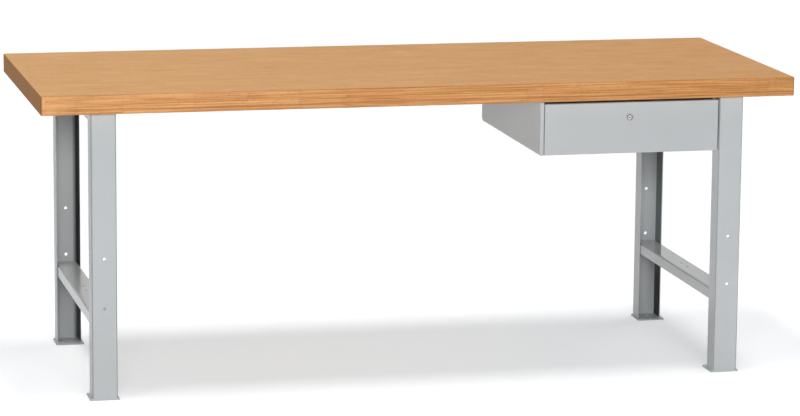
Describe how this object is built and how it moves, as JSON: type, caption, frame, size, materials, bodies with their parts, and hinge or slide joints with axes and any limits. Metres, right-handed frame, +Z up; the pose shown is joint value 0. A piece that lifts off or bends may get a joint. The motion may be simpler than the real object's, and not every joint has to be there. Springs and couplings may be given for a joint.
{
  "type": "workbench",
  "caption": "Workshop bench with a thick beech board on two folded sheet steel leg frames and one lockable drawer on ball runners under the board.",
  "frame": {"origin": "on the floor under the middle of the board", "axes": "+X along the bench to the drawer end, -Y towards the front and the drawer front, +Z up"},
  "size_m": [2, 0.8, 0.8],
  "materials": {
    "beech": "oiled beech board, layered edges",
    "grey_paint": "light grey powder coat, satin",
    "zinc_plate": "bright zinc plated steel",
    "bright_steel": "polished bearing balls",
    "nickel_plate": "satin nickel plated lock"
  },
  "bodies": {
    "frame": {"leg_front_left": "grey_paint", "foot_plate_front_left": "grey_paint", "leg_front_right": "grey_paint", "foot_plate_front_right": "grey_paint", "leg_rear_left": "grey_paint", "foot_plate_rear_left": "grey_paint", "leg_rear_right": "grey_paint", "foot_plate_rear_right": "grey_paint", "lower_tie_left": "grey_paint", "top_rail_left": "grey_paint", "casing_side_left": "grey_paint", "runner_bracket_left": "grey_paint", "runner_cabinet_rail_left": "zinc_plate", "lower_tie_right": "grey_paint", "top_rail_right": "grey_paint", "casing_side_right": "grey_paint", "runner_bracket_right": "grey_paint", "runner_cabinet_rail_right": "zinc_plate", "casing_back": "grey_paint", "lock_rail": "grey_paint", "worktop_inserts": "zinc_plate", "frame_bolts": "zinc_plate", "frame_washers": "zinc_plate", "casing_screws": "zinc_plate", "cabinet_rail_rivets": "zinc_plate", "worktop": "beech"},
    "drawer": {"drawer_front": "grey_paint", "drawer_tray": "grey_paint", "tray_front_wall": "grey_paint", "tray_back_wall": "grey_paint", "drawer_rail_rivets": "zinc_plate", "panel_nuts": "zinc_plate", "panel_screws": "zinc_plate", "lock_housing": "nickel_plate", "lock_nut": "zinc_plate", "runner_drawer_rail_left": "zinc_plate", "runner_drawer_rail_right": "zinc_plate"},
    "runner_middle_rails": {"runner_middle_rail_left": "zinc_plate", "runner_middle_rail_right": "zinc_plate"},
    "runner_outer_cages": {"runner_outer_cage_left": "zinc_plate", "runner_outer_balls_left": "bright_steel", "runner_outer_cage_right": "zinc_plate", "runner_outer_balls_right": "bright_steel"},
    "runner_inner_cages": {"runner_inner_cage_left": "zinc_plate", "runner_inner_balls_left": "bright_steel", "runner_inner_cage_right": "zinc_plate", "runner_inner_balls_right": "bright_steel"},
    "lock_cylinder": {"lock_plug": "nickel_plate", "lock_cam": "zinc_plate", "cam_screw": "zinc_plate"}
  },
  "joints": [
    {"name": "drawer_slide", "type": "slide", "parent": "frame", "child": "drawer", "axis": [0, -1, 0], "range_m": [0, 0.48]},
    {"name": "middle_rail_slide", "type": "slide", "parent": "frame", "child": "runner_middle_rails", "axis": [0, -1, 0], "range_m": [0, 0.24]},
    {"name": "outer_cage_slide", "type": "slide", "parent": "frame", "child": "runner_outer_cages", "axis": [0, -1, 0], "range_m": [0, 0.12]},
    {"name": "inner_cage_slide", "type": "slide", "parent": "frame", "child": "runner_inner_cages", "axis": [0, -1, 0], "range_m": [0, 0.36]},
    {"name": "lock_turn", "type": "hinge", "parent": "drawer", "child": "lock_cylinder", "pos_m": [0.556, -0.368, 0.6995], "axis": [0, -1, 0], "range_deg": [0, 90]}
  ],
  "couplings": [
    {"joint": "middle_rail_slide", "follows": "drawer_slide", "ratio": 0.5},
    {"joint": "outer_cage_slide", "follows": "drawer_slide", "ratio": 0.25},
    {"joint": "inner_cage_slide", "follows": "drawer_slide", "ratio": 0.75}
  ]
}
